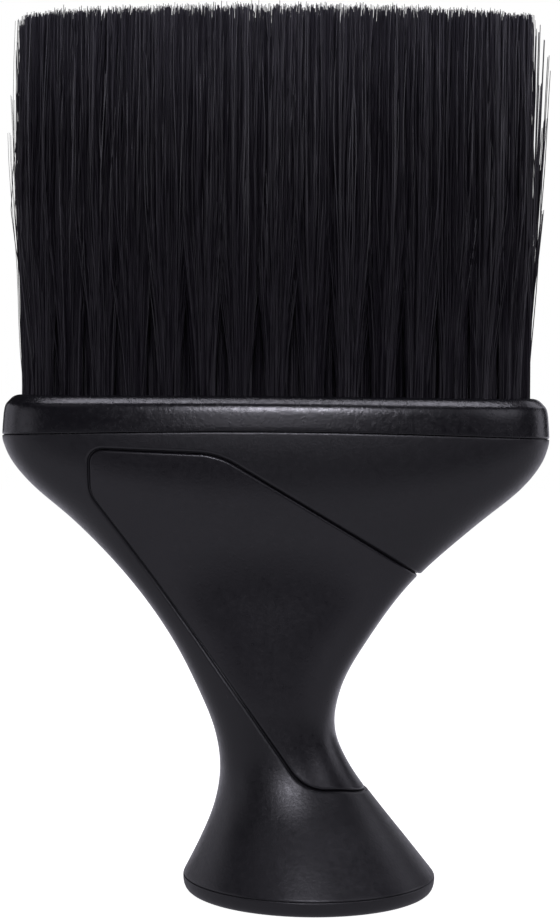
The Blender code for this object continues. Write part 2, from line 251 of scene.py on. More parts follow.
def groove_line():
    """Middle line of the groove as a closed loop of (theta, z), front side first."""
    x, z = rounded_outline().T
    middle, half_x, _, power = measures(z)
    q = (x - middle) / half_x
    inside = np.nonzero(q < 1)[0]
    first, last = inside[0], inside[-1]
    share_a = (1 - q[first]) / (q[first - 1] - q[first])
    share_b = (1 - q[last]) / (q[last + 1] - q[last])
    z_start = z[first] + (z[first - 1] - z[first]) * share_a
    z_end = z[last] + (z[last + 1] - z[last]) * share_b
    q, z, power = q[first:last + 1], z[first:last + 1], power[first:last + 1]
    theta = np.arctan2(-(1 - np.abs(q) ** power) ** (1 / power), q)
    theta = np.concatenate([[0], theta, [0]])
    z = np.concatenate([[z_start], z, [z_end]])
    points = surface(theta, z)
    lengths = np.concatenate([[0], np.cumsum(np.linalg.norm(np.diff(points, axis=0), axis=1))])
    count = int(round(lengths[-1] / CURVE_STEP))
    even = np.linspace(0, lengths[-1], count + 1)
    front_theta = np.interp(even, lengths, theta)
    front_z = np.interp(even, lengths, z)
    back_theta, back_z = -front_theta[-2:0:-1], front_z[-2:0:-1]
    return np.concatenate([front_theta, back_theta]), np.concatenate([front_z, back_z])


def beside(line, distance):
    """The loop moved square to itself along the surface, away from the skin if positive."""
    theta, z = line
    points = surface(theta, z)
    ahead = np.roll(points, -1, axis=0) - np.roll(points, 1, axis=0)
    ahead /= np.linalg.norm(ahead, axis=1, keepdims=True)
    along, up, normal = tangents(theta, z)
    out = np.cross(ahead, normal)
    a, b, c = (along**2).sum(1), (along * up).sum(1), (up**2).sum(1)
    p, q = (along * out).sum(1), (up * out).sum(1)
    det = a * c - b * b
    return theta + distance * (c * p - b * q) / det, z + distance * (a * q - b * p) / det


def inside_loop(theta, z, loop):
    """Whether points lie inside a closed loop, by counting its crossings."""
    lt, lz = loop
    nt, nz = np.roll(lt, -1), np.roll(lz, -1)
    result = np.zeros(theta.shape, bool)
    for a, b, c, d in zip(lt, lz, nt, nz):
        if b == d:
            continue
        crosses = (b > z) != (d > z)
        result ^= crosses & (theta < (c - a) * (z - b) / (d - b) + a)
    return result


class Sheet:
    """Points and faces of one closed mesh, gathered part by part."""

    def __init__(self):
        self.points = []
        self.faces = []
        self.count = 0

    def add(self, points):
        """Adds points and gives their numbers."""
        self.points.append(np.asarray(points, float))
        start = self.count
        self.count += len(points)
        return np.arange(start, self.count)

    def bridge(self, lower, upper):
        """Faces between two closed loops; the outside is on the right of the way up."""
        a, b = np.roll(lower, -1), np.roll(upper, -1)
        self.faces += np.stack([lower, a, b, upper], axis=1).tolist()

    def make(self, name):
        """A mesh object of the used points."""
        points = np.concatenate(self.points)
        used = np.unique(np.concatenate([np.asarray(face) for face in self.faces]))
        renumber = np.full(len(points), -1)
        renumber[used] = np.arange(len(used))
        faces = [[int(renumber[k]) for k in face] for face in self.faces]
        return mesh_object(name, points[used], faces, SMOOTH_ANGLE)


def new_object(name, data):
    """An object of the scene with a mesh, a light or a camera."""
    made = bpy.data.objects.new(name, data)
    bpy.context.scene.collection.objects.link(made)
    return made


def mesh_object(name, points, faces, smooth_angle):
    """An object from points and faces, shaded smooth."""
    mesh = bpy.data.meshes.new(name)
    mesh.from_pydata(points.tolist(), [], faces)
    mesh.validate()
    mesh.shade_smooth()
    mesh.set_sharp_from_angle(angle=math.radians(smooth_angle))
    return new_object(name, mesh)


THETAS = -math.pi + 2 * math.pi * np.arange(COLUMNS) / COLUMNS


def ring(z, inset=0.0):
    """One level ring of the handle's section."""
    return surface(THETAS, np.full(COLUMNS, z), inset)


def handle_grid():
    """Theta and height of every point of the handle's grid, row by row from the foot."""
    low, high = FOOT_RIM_Z + GAP / 2 + LIP_ROOM, SEAM_Z - GAP / 2 - LIP_ROOM
    heights = np.linspace(low, high, HANDLE_ROWS)
    theta, z = np.meshgrid(THETAS, heights)
    return theta, z


class GrooveMap:
    """The handle's surface split along the groove into shell cells, skin cells and a band."""

    def __init__(self):
        self.theta, self.z = handle_grid()
        self.line = groove_line()
        self.loop_out = beside(self.line, BAND)
        self.loop_in = beside(self.line, -BAND)
        self.sort_cells()
        self.fill_band()

    def sort_cells(self):
        """Marks the grid's cells that lie clear of the groove."""
        shape = self.theta.shape
        points = surface(self.theta, self.z).reshape(-1, 3)
        curve = surface(*self.line)
        tree = KDTree(len(curve))
        for k, point in enumerate(curve):
            tree.insert(point, k)
        tree.balance()
        distance = np.array([tree.find(point)[2] for point in points]).reshape(shape)
        self.inside = inside_loop(self.theta, self.z, self.line)
        clear = distance > BAND + BAND_ROOM
        self.shell_cells = all_corners(clear & ~self.inside)
        self.skin_cells = all_corners(clear & self.inside)

    def fill_band(self):
        """Triangles between the kept cells and the two loops beside the groove."""
        index = {}
        points, edges = [], []

        def number(i, j):
            """The flat map's number of a grid point, which is added when it is new."""
            key = (i, j % COLUMNS)
            if key not in index:
                index[key] = len(points)
                points.append(self.flat(self.theta[key], self.z[key]))
            return index[key]

        for (i, j), (k, m) in border_edges(self.shell_cells) + border_edges(self.skin_cells):
            edges.append((number(i, j), number(k, m)))
        self.border = [key[0] * COLUMNS + key[1] for key in index]
        self.starts = []
        for loop in (self.loop_out, self.loop_in):
            start = len(points)
            count = len(loop[0])
            points += [self.flat(t, z) for t, z in zip(*loop)]
            edges += [(start + k, start + (k + 1) % count) for k in range(count)]
            self.starts.append(start)
        found = delaunay_2d_cdt(points, edges, [], 0, SAME_PLACE)
        places = np.array([tuple(p) for p in found[0]])
        names = np.array([origin[0] if origin else -1 for origin in found[3]])
        triangles = np.array([face for face in found[2] if len(face) == 3])
        self.sort_triangles(places, names, triangles)

    @staticmethod
    def flat(theta, z):
        """Where a point of the surface lies on the flat map, in millimetres."""
        return Vector((theta * MAP_RADIUS, z / MM))

    def sort_triangles(self, places, names, triangles):
        """Keeps the triangles of the band, apart for the shell and the skin."""
        centres = places[triangles].mean(axis=1)
        theta, z = centres[:, 0] / MAP_RADIUS, centres[:, 1] * MM
        column = np.floor((theta + math.pi) / (2 * math.pi) * COLUMNS).astype(int) % COLUMNS
        step = self.z[1, 0] - self.z[0, 0]
        row = np.floor((z - self.z[0, 0]) / step).astype(int)
        row = np.clip(row, 0, HANDLE_ROWS - 2)
        taken = self.shell_cells[row, column] | self.skin_cells[row, column]
        outer = ~inside_loop(theta, z, self.loop_out) & ~taken
        inner = inside_loop(theta, z, self.loop_in) & ~taken
        a, b, c = (places[triangles[:, k]] for k in range(3))
        turn = (b[:, 0] - a[:, 0]) * (c[:, 1] - a[:, 1]) - (b[:, 1] - a[:, 1]) * (c[:, 0] - a[:, 0])
        named = names[triangles]
        named[turn < 0] = named[turn < 0][:, ::-1]
        self.outer = named[outer]
        self.inner = named[inner]

    def grid_faces(self, cells):
        """Four-sided faces of the marked cells, as grid numbers."""
        i, j = np.nonzero(cells)
        k = (j + 1) % COLUMNS
        low, high = i * COLUMNS, (i + 1) * COLUMNS
        return np.stack([low + j, low + k, high + k, high + j], axis=1)

    def band_faces(self, triangles, grid, loop_out, loop_in):
        """Band triangles in the numbers of a sheet."""
        lookup = np.concatenate([grid[np.array(self.border)], loop_out, loop_in])
        return lookup[triangles]


def all_corners(marked):
    """Cells of the grid that have all four corners marked. The grid closes round the handle."""
    beside_it = marked & np.roll(marked, -1, axis=1)
    return beside_it[:-1] & beside_it[1:]


def border_edges(cells):
    """Edges between a marked and an unmarked cell, as pairs of grid places."""
    edges = []
    rows = cells.shape[0]
    left = np.roll(cells, 1, axis=1)
    for i, j in zip(*np.nonzero(cells != left)):
        edges.append(((int(i), int(j)), (int(i) + 1, int(j))))
    for i in range(1, rows):
        for j in np.nonzero(cells[i] != cells[i - 1])[0]:
            edges.append(((i, int(j)), (i, int(j) + 1)))
    return edges


def snap(middle, inset):
    """A snap groove or ridge from its top down: heights and insets in millimetres."""
    return [(middle + rise, inset - depth) for rise, depth in SNAP_SHAPE]


def handle_shell(groove):
    """Closed mesh of the moulded handle: outside with the skin's recess, rims and hollow."""
    sheet = Sheet()
    theta, z = groove.theta.ravel(), groove.z.ravel()
    depth = np.where(groove.inside.ravel(), RECESS_DEPTH, 0.0)
    grid = sheet.add(arched(sunk(theta, z, depth)))
    count = len(groove.line[0])
    steps = [(BAND / MM, 0.0)] + SHELL_EDGE
    steps += [(-RECESS_CORNER, RECESS_DEPTH / MM), (-BAND / MM, RECESS_DEPTH / MM)]
    loops = []
    for distance, below in steps:
        line = beside(groove.line, distance * MM)
        loops.append(sheet.add(arched(sunk(*line, np.full(count, below * MM)))))
    for outer, inner in zip(loops, loops[1:]):
        sheet.bridge(outer, inner)
    sheet.faces += grid[groove.grid_faces(groove.shell_cells)].tolist()
    sheet.faces += grid[groove.grid_faces(groove.skin_cells)].tolist()
    for triangles in (groove.outer, groove.inner):
        sheet.faces += groove.band_faces(triangles, grid, loops[0], loops[-1]).tolist()
    top, bottom = SEAM_Z - GAP / 2, FOOT_RIM_Z + GAP / 2
    way = [(top / MM + beyond, inset) for beyond, inset in LIP]
    way += snap(HEAD_SNAP, WALL)
    way += [(height, WALL) for height in np.linspace(HOLLOW_TOP, HOLLOW_BOTTOM, HOLLOW_STEPS)]
    way += snap(BASE_SNAP, WALL)
    way += [(bottom / MM - beyond, inset) for beyond, inset in LIP[::-1]]
    rings = [grid[-COLUMNS:]]
    rings += [sheet.add(arched(ring(height * MM, inset * MM))) for height, inset in way]
    rings.append(grid[:COLUMNS])
    for lower, upper in zip(rings, rings[1:]):
        sheet.bridge(lower, upper)
    return sheet.make("handle_shell")


def grip_skin(groove):
    """Closed mesh of the soft skin, let into the recess just below the handle's surface."""
    sheet = Sheet()
    theta, z = groove.theta.ravel(), groove.z.ravel()
    count = len(groove.line[0])
    top = sheet.add(sunk(theta, z, np.full(len(z), GRIP_SUNK)))
    under = sheet.add(sunk(theta, z, np.full(len(z), GRIP_DEPTH)))
    steps = [(BAND / MM, GRIP_SUNK / MM)] + GRIP_EDGE
    steps += [(SKIN_CORNER, GRIP_DEPTH / MM), (BAND / MM, GRIP_DEPTH / MM)]
    loops = []
    for distance, below in steps:
        line = beside(groove.line, -distance * MM)
        loops.append(sheet.add(sunk(*line, np.full(count, below * MM))))
    for inner, outer in zip(loops, loops[1:]):
        sheet.bridge(outer, inner)
    faces = groove.grid_faces(groove.skin_cells)
    sheet.faces += top[faces].tolist()
    sheet.faces += under[faces][:, ::-1].tolist()
    blank = np.zeros(count, int)
    sheet.faces += groove.band_faces(groove.inner, top, blank, loops[0]).tolist()
    sheet.faces += groove.band_faces(groove.inner, under, blank, loops[-1])[:, ::-1].tolist()
    return sheet.make("grip_skin")


# Rows of tufts: number, half length, distance to the back at the middle and at the ends
ROWS = {
    "front": (15, 43.9 * MM, -7.6 * MM, -4.6 * MM),
    "middle": (16, 46.4 * MM, 0.0, 0.0),
    "back": (15, 43.9 * MM, 7.6 * MM, 4.6 * MM),
}

# Crowding of the tufts towards both ends, and how far the block spreads beyond their roots
CROWDING = 0.07
SPREAD_ACROSS = 1.025
SPREAD_DEEP = 1.1

# Bores for the tufts and grooves for the wires, cut through the plug from below
BORE_RADIUS = 2.25 * MM
BORE_SIDES = 24
PLUG_BOTTOM = 83.2
CUT_ROOM = 2 * MM
WIRE_GROOVE_HALF = 0.85 * MM
WIRE_GROOVE_TOP = 86.0 * MM
WIRE_REACH = 2.45 * MM

# The head in millimetres: height and inset of the plug's foot, then from the seam to the top
PLUG_FOOT = [(PLUG_BOTTOM, 2.8), (83.7, PLUG_INSET)]
COLLAR_PROFILE = [
    (86.5, PLUG_INSET), (86.5, 2.1), (86.5, 0.3), (86.56, 0.26), (86.58, 0.16), (86.61, 0.07),
    (86.7, 0.015), (86.9, 0.0), (87.6, 0.035), (88.3, 0.08), (89.0, 0.13), (89.6, 0.18),
    (90.1, 0.235), (90.5, 0.295), (90.85, 0.365), (91.15, 0.45), (91.4, 0.54), (91.62, 0.665),
    (91.82, 0.83), (92.07, 1.07), (92.35, 1.345), (92.62, 1.62), (92.83, 1.87), (93.0, 2.13),
    (93.14, 2.43), (93.24, 2.72), (93.3, 3.0),
]
HEAD_SMOOTH_ANGLE = 42

# The base cap in millimetres: its rim from the underside up, and the ring inside the handle
RIM_PROFILE = [
    (0.0, 1.9), (0.02, 1.6), (0.1, 1.25), (0.26, 0.92), (0.5, 0.62), (0.85, 0.36), (1.3, 0.17),
    (1.8, 0.06), (2.3, 0.01), (2.66, 0.0), (2.85, 0.02), (2.92, 0.08), (2.94, 0.18), (2.98, 0.28),
]
CAP_RING_FOOT = [(2.98, 2.1), (3.15, PLUG_INSET)]
CAP_RING_TOP = [(8.85, PLUG_INSET), (9.0, 2.45), (9.0, 4.15), (8.85, 4.3)]
CAP_FLOOR = 2.2


def row_places(row):
    """Centres of a row's tufts, from left to right."""
    count, half_x, y_middle, y_end = ROWS[row]
    u = np.linspace(-1, 1, count)
    x = half_x * u * (1 + CROWDING * (1 - u * u))
    return np.stack([x, y_middle + (y_end - y_middle) * u * u], axis=1)


def head_profile():
    """Rings of the head as height and inset in millimetres, from the plug up to the top."""
    return PLUG_FOOT + snap(HEAD_SNAP, PLUG_INSET)[::-1] + COLLAR_PROFILE


def collar_arched(points):
    """Bows the collar between the seam's arch and the crest's own line."""
    across = np.abs(points[:, 0]) / MM
    share = smooth_step(np.clip((points[:, 2] - SEAM_Z) / (HEAD_TOP_Z - SEAM_Z), 0, 1))
    fade = np.clip((points[:, 2] - (SEAM_Z - ARCH_FADE)) / ARCH_FADE, 0, 1)
    low, high = np.interp(across, *SEAM_ARCH), np.interp(across, *CREST_ARCH)
    moved = points.copy()
    moved[:, 2] += (low * (1 - share) + high * share) * fade * MM
    return moved


def prism(bm, outline, low, high):
    """A closed upright prism in a bmesh."""
    loops = [[bm.verts.new((x, y, z)) for x, y in outline] for z in (low, high)]
    count = len(outline)
    for k in range(count):
        m = (k + 1) % count
        bm.faces.new((loops[0][k], loops[0][m], loops[1][m], loops[1][k]))
    bm.faces.new(loops[0][::-1])
    bm.faces.new(loops[1])


def head_tool():
    """The bores of all tufts and the grooves of the wires, as one cutting object."""
    bores, grooves = bmesh.new(), bmesh.new()
    turns = 2 * math.pi * np.arange(BORE_SIDES) / BORE_SIDES
    for row in ROWS:
        places = row_places(row)
        for x, y in places:
            outline = [(x + BORE_RADIUS * math.cos(a), y + BORE_RADIUS * math.sin(a)) for a in turns]
            prism(bores, outline, PLUG_BOTTOM * MM - CUT_ROOM, HEAD_TOP_Z + CUT_ROOM)
        slope = (places[-1, 1] - places[-2, 1]) / (places[-1, 0] - places[-2, 0])
        end = places[-1] + np.array([1, slope]) * WIRE_REACH
        line = np.vstack([[-end[0], end[1]], places, end])
        outline = [(x, y - WIRE_GROOVE_HALF) for x, y in line]
        outline += [(x, y + WIRE_GROOVE_HALF) for x, y in line[::-1]]
        prism(grooves, outline, PLUG_BOTTOM * MM - CUT_ROOM, WIRE_GROOVE_TOP)
    return [tool_object("head_bores", bores), tool_object("wire_grooves", grooves)]


def tool_object(name, bm):
    """A cutting object from a bmesh."""
    mesh = bpy.data.meshes.new(name)
    bm.to_mesh(mesh)
    bm.free()
    return new_object(name, mesh)


def stacked_rings(name, levels):
    """A closed mesh of rings: where the handle's section is taken, the height and the inset."""
    sheet = Sheet()
    rings = []
    for section, height, inset in levels:
        points = ring(section, inset * MM)
        points[:, 2] = height * MM
        rings.append(sheet.add(points))
    for lower, upper in zip(rings, rings[1:]):
        sheet.bridge(lower, upper)
    sheet.faces.append(rings[0][::-1].tolist())
    sheet.faces.append(rings[-1].tolist())
    return sheet.make(name)


def head_collar():
    """Closed mesh of the head with its bores, wire grooves and bowed collar."""
    levels = [(min(height * MM, SEAM_Z), height, inset) for height, inset in head_profile()]
    body = stacked_rings("head_blank", levels)
    tools = head_tool()
    for tool in tools:
        step = body.modifiers.new(tool.name, "BOOLEAN")
        step.operation = "DIFFERENCE"
        step.solver = "EXACT"
        step.object = tool
    graph = bpy.context.evaluated_depsgraph_get()
    mesh = bpy.data.meshes.new_from_object(body.evaluated_get(graph))
    for old in [body] + tools:
        bpy.data.objects.remove(old)
    mesh.name = "head_collar"
    bm = bmesh.new()
    bm.from_mesh(mesh)
    bmesh.ops.remove_doubles(bm, verts=bm.verts, dist=SAME_PLACE)
    bmesh.ops.triangulate(bm, faces=[f for f in bm.faces if len(f.verts) > 4])
    moved = collar_arched(np.array([v.co for v in bm.verts]))
    for vert, place in zip(bm.verts, moved):
        vert.co = place
    bm.to_mesh(mesh)
    bm.free()
    mesh.shade_smooth()
    mesh.set_sharp_from_angle(angle=math.radians(HEAD_SMOOTH_ANGLE))
    return new_object("head_collar", mesh)


def foot_cap():
    """Closed mesh of the base cap: rounded rim, flat underside and the ring inside."""
    levels = [(FOOT_RIM_Z, height, inset) for height, inset in RIM_PROFILE]
    way = CAP_RING_FOOT + snap(BASE_SNAP, PLUG_INSET)[::-1] + CAP_RING_TOP
    lowest = CAP_RING_FOOT[-1][0]
    levels += [(max(height, lowest) * MM, height, inset) for height, inset in way]
    highest, inner = CAP_RING_TOP[-2][0], CAP_RING_TOP[-1][1]
    levels.append((highest * MM, CAP_FLOOR, inner))
    return stacked_rings("foot_cap", levels)


# Bristles in each tuft of a row, and the levels along a bristle
STRANDS = {"front": 460, "middle": 340, "back": 460}
STRAND_LEVELS = np.array([0.0, 0.1, 0.19, 0.28, 0.37, 0.46, 0.55, 0.64, 0.73, 0.82, 0.91, 1.0])
STRAND_FOOT_Z = 85.8 * MM
ROOT_RADIUS = 2.05 * MM
STRAND_RADIUS = 0.085 * MM
STRAND_SMOOTH_ANGLE = 75

# A bristle's thickness: least and most share of the radius, and its taper along the way up
THICKNESS_SHARES = (0.75, 1.25)
STRAND_TAPER = ([0, 0.7, 1], [1.0, 0.95, 0.66])

# Seeds of the random draws
BRISTLE_SEED = 1209
TIP_SEED = 77
CLUMP_SEED = 31

# How a tuft opens: height of the flare, least and most power of its curve, overlap with its
# neighbours across and to the back, and power of its rounded square at the tips
FLARE_HEIGHT = 38 * MM
FLARE_POWERS = (0.55, 1.7)
TUFT_OVERLAP = (1.06, 1.02)
SQUARENESS = 5

# The block that the bristles fill: its crown and ends
CROWN_HALF = 49.5 * MM
CROWN_BOW = 0.5 * MM
CROWN_TILT = 0.013
CROWN_DROP = 1.3 * MM
CROWN_DROP_POWER = 20
CROWN_DROP_MOST = 4 * MM
BLOCK_LEFT = 48.2 * MM
BLOCK_RIGHT = 46.3 * MM
BLOCK_SQUEEZE = 0.62
END_SPREAD = (0.8 * MM, 0.6 * MM)

# Cut tips: lift, shared waviness, spread, highest one, and how many are short by how much
TIP_LIFT = 0.32 * MM
TIP_WAVES = 5
TIP_WAVE_LENGTH = 5.0 * MM
TIP_WAVE_SHARES = (0.6, 1.6)
TIP_WAVE_SLANT = 0.7
TIP_WAVE = 0.1 * MM
TIP_SPREAD = 0.16 * MM
TIP_HIGHEST = 0.35 * MM
SHORT_SHARE = 0.2
SHORT_MEAN = 3.0 * MM
SHORT_MOST = 20 * MM

# Bends of a single bristle: radians along it and size, spread of the first, share across and
# to the back, and how fast and how late they set in above the root
OWN_BENDS = ((4.0, 0.3 * MM), (9.0, 0.16 * MM), (17.0, 0.08 * MM))
OWN_BEND_SHARES = (0.7, 1.3)
OWN_BEND_SHAPE = (1.0, 1.6)
OWN_BEND_START = (2.4, 0.3)

# Bends that neighbours share: number, least and most radians to a millimetre across, to the
# back and up, size across and to the back, and start
SHARED_BENDS = 7
SHARED_RATES = ((0.8, 2.4), (-0.8, 0.8), (0.05, 0.16))
SHARED_SIZE = (0.075 * MM, 0.09 * MM)
SHARED_START = (2.2, 0.25)


def tuft_half_sizes(places, i):
    """Half the room across and to the back that a tuft fills where the tufts crowd."""
    steps = [abs(places[k][0] - places[i][0]) for k in (i - 1, i + 1) if 0 <= k < len(places)]
    u = 2 * i / (len(places) - 1) - 1
    _, _, y_middle, y_end = ROWS["front"]
    deep = abs(y_middle + (y_end - y_middle) * u * u) * SPREAD_DEEP
    return min(steps) * SPREAD_ACROSS / 2, deep / 2


def tip_wave(place):
    """A smooth random line along the tips: a sum of a few sines of about one length."""
    rng = np.random.default_rng(TIP_SEED)
    total = np.zeros_like(place)
    for _ in range(TIP_WAVES):
        length = TIP_WAVE_LENGTH * rng.uniform(*TIP_WAVE_SHARES)
        total += np.sin(place / length * 2 * math.pi + rng.uniform(0, 2 * math.pi))
    return total * TIP_WAVE / math.sqrt(TIP_WAVES)


def disc_points(count, rng):
    """Even points on a unit disc, with the same points moved out to a rounded square."""
    k = np.arange(count) + 0.5
    radius = np.sqrt(k / count)
    angle = k * math.pi * (3 - math.sqrt(5)) + rng.uniform(0, 2 * math.pi)
    c, s = np.cos(angle), np.sin(angle)
    norm = (np.abs(c) ** SQUARENESS + np.abs(s) ** SQUARENESS) ** (1 / SQUARENESS)
    disc = np.stack([radius * c, radius * s], axis=1)
    square = np.stack([radius * c / norm, radius * s / norm], axis=1)
    return disc, square


def strand_tips(end, rng):
    """Heights of the cut tips: nearly level, lower at the block's corners, a little ragged."""
    across = np.abs(end[:, 0])
    drop = CROWN_BOW * (across / CROWN_HALF) ** 2
    drop += CROWN_DROP * (across / CROWN_HALF) ** CROWN_DROP_POWER
    ragged = tip_wave(end[:, 0] + end[:, 1] * TIP_WAVE_SLANT)
    tip = BRUSH_TOP_Z + TIP_LIFT - np.minimum(drop, CROWN_DROP_MOST) + ragged
    tip += np.minimum(rng.normal(0, TIP_SPREAD, len(end)), TIP_HIGHEST)
    tip += CROWN_TILT * np.maximum(end[:, 0], 0)
    short = rng.random(len(end)) < SHORT_SHARE
    return tip - short * rng.exponential(SHORT_MEAN, len(end)).clip(0, SHORT_MOST)


def set_in(level, start):
    """How far bends have set in at a level along a bristle, from 0 to 1."""
    rate, delay = start
    return np.clip(level * rate - delay, 0, 1)


def strand_wander(count, rng):
    """Each bristle's own slow bends, as (strand, level, xy)."""
    level = STRAND_LEVELS[None, :, None]
    total = np.zeros((count, len(STRAND_LEVELS), 2))
    for turns, size in OWN_BENDS:
        phase = rng.uniform(0, 2 * math.pi, (count, 1, 2))
        bend = rng.normal(0, size, (count, 1, 2)) * OWN_BEND_SHAPE
        total += bend * np.sin(phase + level * turns * rng.uniform(*OWN_BEND_SHARES, (count, 1, 1)))
    return total * set_in(level, OWN_BEND_START)


def clump_wander(ends, z):
    """Bends that neighbouring bristles share, so that they gather in wisps."""
    rng = np.random.default_rng(CLUMP_SEED)
    x = ends[:, 0][:, None] / MM
    y = ends[:, 1][:, None] / MM
    total = np.zeros((len(ends), z.shape[1], 2))
    for _ in range(SHARED_BENDS):
        a, b, c = [rng.uniform(*rates) for rates in SHARED_RATES]
        swing = np.sin(a * x + b * y + c * z / MM + rng.uniform(0, 2 * math.pi))
        total[:, :, 0] += swing * SHARED_SIZE[0]
        total[:, :, 1] += np.roll(swing, 1, axis=1) * SHARED_SIZE[1]
    level = (z - STRAND_FOOT_Z) / (BRUSH_TOP_Z - STRAND_FOOT_Z)
    return total * set_in(level, SHARED_START)[:, :, None]


def strand_paths(row, i, rng):
    """Centre lines of a tuft's bristles, as (strand, level, xyz), and each one's thickness."""
    places = row_places(row)
    root = places[i]
    half = tuft_half_sizes(places, i)
    count = STRANDS[row]
    disc, square = disc_points(count, rng)
    start = root + disc * ROOT_RADIUS
    lean = root * (SPREAD_ACROSS, SPREAD_DEEP)
    jitter = rng.normal(0, 1, (count, 2)) * END_SPREAD
    end = lean + square * np.multiply(half, TUFT_OVERLAP) + jitter
    end[:, 0] -= np.maximum(end[:, 0] - BLOCK_RIGHT, 0) * BLOCK_SQUEEZE
    end[:, 0] += np.maximum(-BLOCK_LEFT - end[:, 0], 0) * BLOCK_SQUEEZE
    tip = strand_tips(end, rng)
    z = STRAND_FOOT_Z + (tip - STRAND_FOOT_Z)[:, None] * STRAND_LEVELS[None, :]
    blend = smooth_step(np.clip((z - HEAD_TOP_Z) / FLARE_HEIGHT, 0, 1))
    blend = blend ** rng.uniform(*FLARE_POWERS, (count, 1))
    across = start[:, None, :] + (end - start)[:, None, :] * blend[:, :, None]
    across = across + strand_wander(count, rng) + clump_wander(end, z)
    paths = np.concatenate([across, z[:, :, None]], axis=2)
    return paths, rng.uniform(*THICKNESS_SHARES, count) * STRAND_RADIUS


def strand_mesh(name, paths, radii, rng):
    """Closed three-sided tapering bristles along the paths, as one object."""
    count, levels = paths.shape[:2]
    turn = rng.uniform(0, 2 * math.pi, (count, 1, 1))
    angle = turn + np.arange(3)[None, None, :] * 2 * math.pi / 3
    taper = np.interp(np.linspace(0, 1, levels), *STRAND_TAPER)
    size = radii[:, None, None] * taper[None, :, None]
    x = paths[:, :, 0:1] + np.cos(angle) * size
    y = paths[:, :, 1:2] + np.sin(angle) * size
    z = paths[:, :, 2:3] + 0 * x
    points = np.stack([x, y, z], axis=-1).reshape(-1, 3)
    base = (np.arange(count) * levels * 3)[:, None, None]
    start = base + (np.arange(levels - 1) * 3)[None, :, None]
    low = start + np.arange(3)
    side = start + (np.arange(3) + 1) % 3
    quads = np.stack([low, side, side + 3, low + 3], axis=-1).reshape(-1, 4).tolist()
    first = base[:, 0, 0][:, None] + np.array([[2, 1, 0]])
    last = base[:, 0, 0][:, None] + (levels - 1) * 3 + np.array([[0, 1, 2]])
    faces = quads + first.tolist() + last.tolist()
    return mesh_object(name, points, faces, STRAND_SMOOTH_ANGLE)


# Wisps that stand away from the block: side, height and reach of the tip in millimetres,
# thickness as a share of the other bristles'
STRAYS = {
    ("middle", 1): [
        (-1, 163.6, 49.2, 1.1), (-1, 161.0, 49.9, 0.8), (-1, 150.5, 50.8, 0.6), (-1, 143.0, 50.7, 0.7),
    ],
    ("middle", 16): [
        (1, 164.4, 49.2, 1.5), (1, 162.2, 50.6, 1.5), (1, 159.0, 51.6, 1.3), (1, 154.0, 49.9, 1.3),
        (1, 147.0, 50.8, 1.4), (1, 139.0, 50.3, 1.3), (1, 130.0, 50.6, 1.2),
    ],
}

# A wisp in millimetres: bristles, their spread, distance and spread of its root, level where it
# starts to lean out and powers of the lean, size and radians of its sway, half the depth of its
# roots, spread of its lean to the back, and mean shortfall of its tips
WISP = 5
WISP_SPREAD = 0.12
WISP_ROOT = 47.4
WISP_ROOT_ROOM = 0.4
WISP_LEAN_FROM = 0.12
WISP_LEAN_POWERS = (0.8, 1.2)
WISP_SWAY = 0.12
WISP_SWAY_TURN = 10
WISP_SWAY_PHASE = 6
WISP_DEEP = 1.0
WISP_BACK = 0.9
WISP_SHORT = 0.8


def stray_paths(specs, rng):
    """Paths and thicknesses of the wisps at one end of the block, a few bristles each."""
    paths, radii = [], []
    for side, tip, reach, thickness in specs:
        root = WISP_ROOT + rng.uniform(-WISP_ROOT_ROOM, WISP_ROOT_ROOM)
        out = np.clip((STRAND_LEVELS - WISP_LEAN_FROM) / (1 - WISP_LEAN_FROM), 0, 1)
        out = out ** rng.uniform(*WISP_LEAN_POWERS)
        sway = rng.normal(0, WISP_SWAY)
        sway = sway * np.sin(STRAND_LEVELS * WISP_SWAY_TURN + rng.uniform(0, WISP_SWAY_PHASE))
        for _ in range(WISP):
            beside_it = rng.normal(0, WISP_SPREAD)
            x = side * (root + (reach - root) * out + sway + beside_it)
            y = rng.uniform(-WISP_DEEP, WISP_DEEP) + rng.normal(0, WISP_BACK) * STRAND_LEVELS
            height = (tip - rng.exponential(WISP_SHORT)) * MM - STRAND_FOOT_Z
            z = STRAND_FOOT_Z + height * STRAND_LEVELS
            paths.append(np.stack([x * MM, y * MM, z], axis=1))
            radii.append(thickness * STRAND_RADIUS)
    return np.array(paths), np.array(radii)


def bristles():
    """One object of bristles for every CAD tuft."""
    made = []
    rng = np.random.default_rng(BRISTLE_SEED)
    for row in ROWS:
        for i in range(ROWS[row][0]):
            paths, radii = strand_paths(row, i, rng)
            if (row, i + 1) in STRAYS:
                extra, thin = stray_paths(STRAYS[row, i + 1], rng)
                paths, radii = np.concatenate([paths, extra]), np.concatenate([radii, thin])
            piece = strand_mesh(f"bristles_{row}_{i + 1:02d}", paths, radii, rng)
            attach(piece, "root")
            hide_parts(f"tuft_{row}_{i + 1:02d}")
            made.append(piece)
    return made


def node(tree, kind, **values):
    """A shader node with its settings and the values of its sockets."""
    made = tree.nodes.new(kind)
    for name, value in values.items():
        if name in made.inputs:
            made.inputs[name].default_value = value
        else:
            setattr(made, name, value)
    return made


def new_material(name):
    """A material, its node tree and its Principled shader."""
    made = bpy.data.materials.new(name)
    made.use_nodes = True
    return made, made.node_tree, made.node_tree.nodes["Principled BSDF"]


def ramp(tree, source, stops):
    """A colour ramp between a value and its stops of (place, colour)."""
    made = tree.nodes.new("ShaderNodeValToRGB")
    elements = made.color_ramp.elements
    while len(elements) < len(stops):
        elements.new(0.5)
    for element, (place, colour) in zip(elements, stops):
        element.position = place
        element.color = (*colour, 1.0)
    tree.links.new(source, made.inputs["Fac"])
    return made.outputs["Color"]


